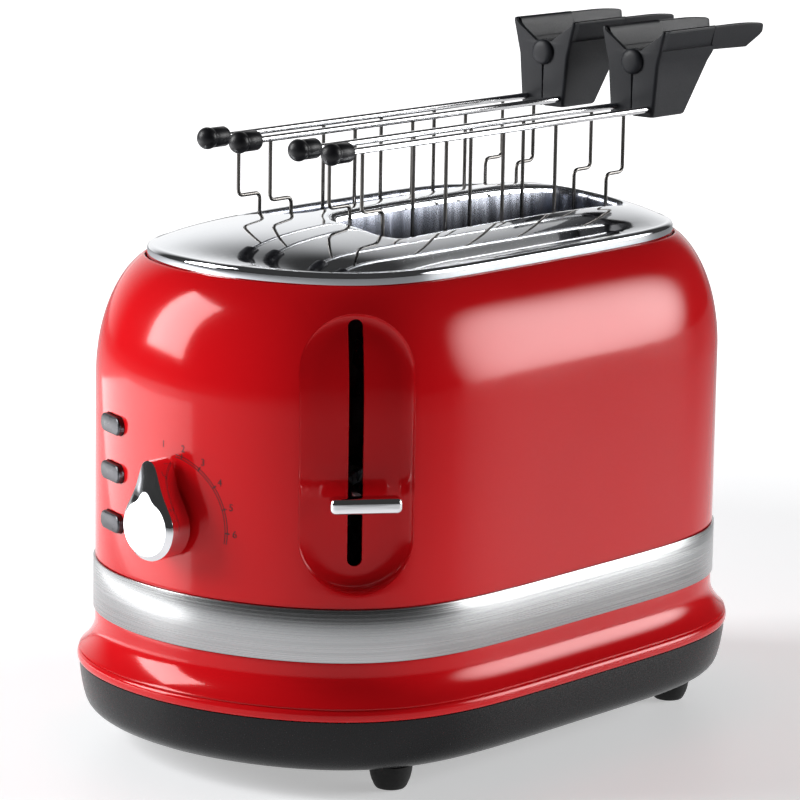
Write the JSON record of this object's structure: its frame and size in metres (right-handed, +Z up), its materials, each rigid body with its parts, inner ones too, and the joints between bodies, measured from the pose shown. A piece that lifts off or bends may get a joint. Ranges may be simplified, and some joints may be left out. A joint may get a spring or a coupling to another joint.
{
  "type": "toaster",
  "caption": "Two-slot toaster with a rounded enamelled body on a flared foot, steel band, domed bright top, corner lever, browning dial, push buttons and lift-out sandwich cages.",
  "frame": {"origin": "centre of the overall box at floor level, under the feet", "axes": "+X along the bread slots towards the cage grips, controls at -X, lever on the -X -Y corner, +Z up"},
  "size_m": [0.3483, 0.198, 0.2868],
  "materials": {
    "red_enamel": "high gloss stoved enamel",
    "brushed_steel": "brushed along its length",
    "polished_chrome": "mirror polished",
    "chromed_plastic": "bright chromed plastic",
    "satin_black": "satin moulded plastic",
    "grip_black": "satin heat-proof plastic",
    "foot_rubber": "matt rubber",
    "zinc_sheet": "zinc plated sheet",
    "mica_card": "mica board",
    "nichrome_ribbon": "oxidised resistance ribbon",
    "wire_steel": "bright drawn wire",
    "board_green": "solder-masked circuit board",
    "part_black": "black moulding",
    "winding_copper": "enamelled copper winding"
  },
  "bodies": {
    "toaster": {"body_shell": "red_enamel", "skirt_ring": "red_enamel", "trim_band": "brushed_steel", "top_plate": "polished_chrome", "base_tray": "satin_black", "foot_1": "foot_rubber", "foot_2": "foot_rubber", "foot_3": "foot_rubber", "foot_4": "foot_rubber", "chassis_front": "zinc_sheet", "chassis_rear": "zinc_sheet", "inner_shield_near": "zinc_sheet", "inner_shield_far": "zinc_sheet", "heater_card_near": "mica_card", "heater_card_centre": "mica_card", "heater_card_far": "mica_card", "heater_ribbon_1": "nichrome_ribbon", "heater_ribbon_2": "nichrome_ribbon", "heater_ribbon_3": "nichrome_ribbon", "heater_ribbon_4": "nichrome_ribbon", "bread_guard_1": "wire_steel", "bread_guard_2": "wire_steel", "bread_guard_3": "wire_steel", "bread_guard_4": "wire_steel", "guide_rod_near": "wire_steel", "guide_rod_far": "wire_steel", "latch_magnet": "zinc_sheet", "magnet_winding": "winding_copper", "control_board": "board_green", "button_board": "board_green", "potentiometer": "zinc_sheet", "cable_bush": "part_black", "base_screw_near": "zinc_sheet", "base_screw_far": "zinc_sheet"},
    "lever_carriage": {"carriage": "zinc_sheet", "lever_bar": "chromed_plastic", "lifter_near": "wire_steel", "lifter_far": "wire_steel", "return_spring": "wire_steel"},
    "dial": {"dial_knob": "chromed_plastic", "dial_shaft": "zinc_sheet"},
    "top_button": {"button_1": "chromed_plastic"},
    "middle_button": {"button_2": "chromed_plastic"},
    "bottom_button": {"button_3": "chromed_plastic"},
    "crumb_drawer": {"crumb_tray": "zinc_sheet"},
    "near_cage": {"near_pivot_pin": "polished_chrome"},
    "near_left_jaw": {"near_left_panel": "wire_steel", "near_left_cap": "grip_black", "near_left_grip": "grip_black"},
    "near_right_jaw": {"near_right_panel": "wire_steel", "near_right_cap": "grip_black", "near_right_grip": "grip_black"},
    "far_cage": {"far_pivot_pin": "polished_chrome"},
    "far_left_jaw": {"far_left_panel": "wire_steel", "far_left_cap": "grip_black", "far_left_grip": "grip_black"},
    "far_right_jaw": {"far_right_panel": "wire_steel", "far_right_cap": "grip_black", "far_right_grip": "grip_black"}
  },
  "joints": [
    {"name": "lever_slide", "type": "slide", "parent": "toaster", "child": "lever_carriage", "axis": [0, 0, 1], "range_m": [-0.005, 0.066], "deforming": ["return_spring"]},
    {"name": "dial_turn", "type": "hinge", "parent": "toaster", "child": "dial", "pos_m": [-0.1596, 0.004, 0.1048], "axis": [1, 0, 0], "range_deg": [0, 120]},
    {"name": "top_button_press", "type": "slide", "parent": "toaster", "child": "top_button", "axis": [0.9272, -0.3746, 0], "range_m": [0, 0.002], "stiffness_N_per_m": 350, "springref_m": -0.001},
    {"name": "middle_button_press", "type": "slide", "parent": "toaster", "child": "middle_button", "axis": [0.9272, -0.3746, 0], "range_m": [0, 0.002], "stiffness_N_per_m": 350, "springref_m": -0.001},
    {"name": "bottom_button_press", "type": "slide", "parent": "toaster", "child": "bottom_button", "axis": [0.9272, -0.3746, 0], "range_m": [0, 0.002], "stiffness_N_per_m": 350, "springref_m": -0.001},
    {"name": "crumb_tray_slide", "type": "slide", "parent": "toaster", "child": "crumb_drawer", "axis": [1, 0, 0], "range_m": [0, 0.2]},
    {"name": "near_cage_lift", "type": "slide", "parent": "lever_carriage", "child": "near_cage", "axis": [0, 0, 1], "range_m": [0, 0.15]},
    {"name": "near_right_jaw_turn", "type": "hinge", "parent": "near_cage", "child": "near_right_jaw", "pos_m": [0.1054, -0.02435, 0.271], "axis": [1, 0, 0], "range_deg": [0, 1.7], "stiffness_Nm_per_rad": 1, "springref_deg": -8.59},
    {"name": "near_left_jaw_turn", "type": "hinge", "parent": "near_cage", "child": "near_left_jaw", "pos_m": [0.1054, -0.02435, 0.271], "axis": [1, 0, 0], "range_deg": [-1.7, 0], "stiffness_Nm_per_rad": 1, "springref_deg": 8.59},
    {"name": "far_cage_lift", "type": "slide", "parent": "lever_carriage", "child": "far_cage", "axis": [0, 0, 1], "range_m": [0, 0.15]},
    {"name": "far_right_jaw_turn", "type": "hinge", "parent": "far_cage", "child": "far_right_jaw", "pos_m": [0.1054, 0.02435, 0.271], "axis": [1, 0, 0], "range_deg": [0, 1.7], "stiffness_Nm_per_rad": 1, "springref_deg": -8.59},
    {"name": "far_left_jaw_turn", "type": "hinge", "parent": "far_cage", "child": "far_left_jaw", "pos_m": [0.1054, 0.02435, 0.271], "axis": [1, 0, 0], "range_deg": [-1.7, 0], "stiffness_Nm_per_rad": 1, "springref_deg": 8.59}
  ],
  "couplings": [
    {"joint": "near_left_jaw_turn", "follows": "near_right_jaw_turn", "ratio": -1},
    {"joint": "far_left_jaw_turn", "follows": "far_right_jaw_turn", "ratio": -1}
  ]
}
